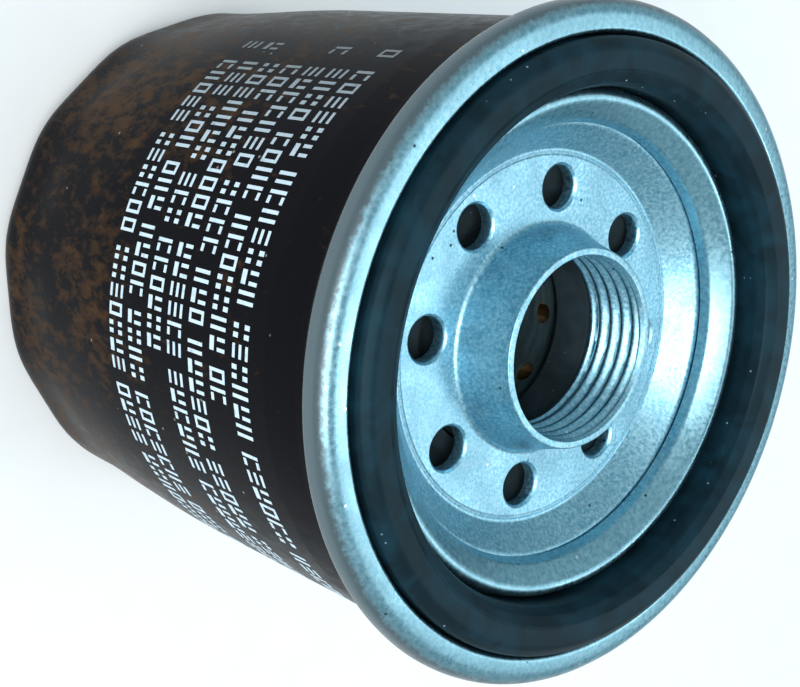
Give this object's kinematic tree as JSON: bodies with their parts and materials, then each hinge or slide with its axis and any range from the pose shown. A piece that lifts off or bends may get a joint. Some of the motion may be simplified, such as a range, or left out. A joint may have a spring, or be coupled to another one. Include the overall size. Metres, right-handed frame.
{
  "type": "oil filter",
  "caption": "Spin-on engine oil filter: fluted black can, zinc base plate with inlet holes, threaded hub, rolled rim and rubber sealing ring.",
  "frame": {"origin": "centre of the flat closed end, which the filter stands on", "axes": "+Z along the filter's axis from the closed end to the base plate and gasket; +X through one inlet hole and the joint of the paper pleats"},
  "size_m": [0.0686, 0.0686, 0.0699],
  "materials": {
    "can_paint": "gloss mottled black-brown enamel",
    "zinc_plate": "blue-white passivated zinc plate",
    "nitrile_rubber": "satin moulded nitrile",
    "seam_compound": "matt sealing compound",
    "plain_steel": "pressed tinplate",
    "plastisol": "cured plastisol",
    "filter_paper": "resin-treated cellulose",
    "valve_nylon": "glass-filled nylon",
    "spring_steel": "oiled spring wire"
  },
  "bodies": {
    "housing": {"can": "can_paint", "seaming_lid": "zinc_plate", "base_plate": "zinc_plate", "sealing_gasket": "nitrile_rubber", "seam_compound": "seam_compound", "element_spring": "spring_steel"},
    "element": {"anti_drain_collar": "nitrile_rubber", "upper_end_cap": "plain_steel", "lower_end_cap": "plain_steel", "upper_plastisol": "plastisol", "lower_plastisol": "plastisol", "pleated_media": "filter_paper", "pleat_clip": "plain_steel", "centre_tube": "plain_steel", "bypass_cage": "plain_steel", "bypass_seal": "nitrile_rubber", "bypass_spring": "spring_steel", "spring_cup": "plain_steel"},
    "anti_drain_lip": {"anti_drain_flap": "nitrile_rubber"},
    "bypass_valve": {"bypass_poppet": "valve_nylon"}
  },
  "joints": [
    {"name": "element_float", "type": "slide", "parent": "housing", "child": "element", "axis": [0, 0, -1], "range_m": [0, 0.002], "stiffness_N_per_m": 6000, "springref_m": -0.004, "deforming": ["element_spring"]},
    {"name": "anti_drain_lift", "type": "slide", "parent": "element", "child": "anti_drain_lip", "axis": [0, 0, -1], "range_m": [0, 0.0015], "stiffness_N_per_m": 60, "springref_m": -0.001},
    {"name": "bypass_lift", "type": "slide", "parent": "element", "child": "bypass_valve", "axis": [0, 0, 1], "range_m": [0, 0.003], "stiffness_N_per_m": 2200, "springref_m": -0.008, "deforming": ["bypass_spring"]}
  ]
}
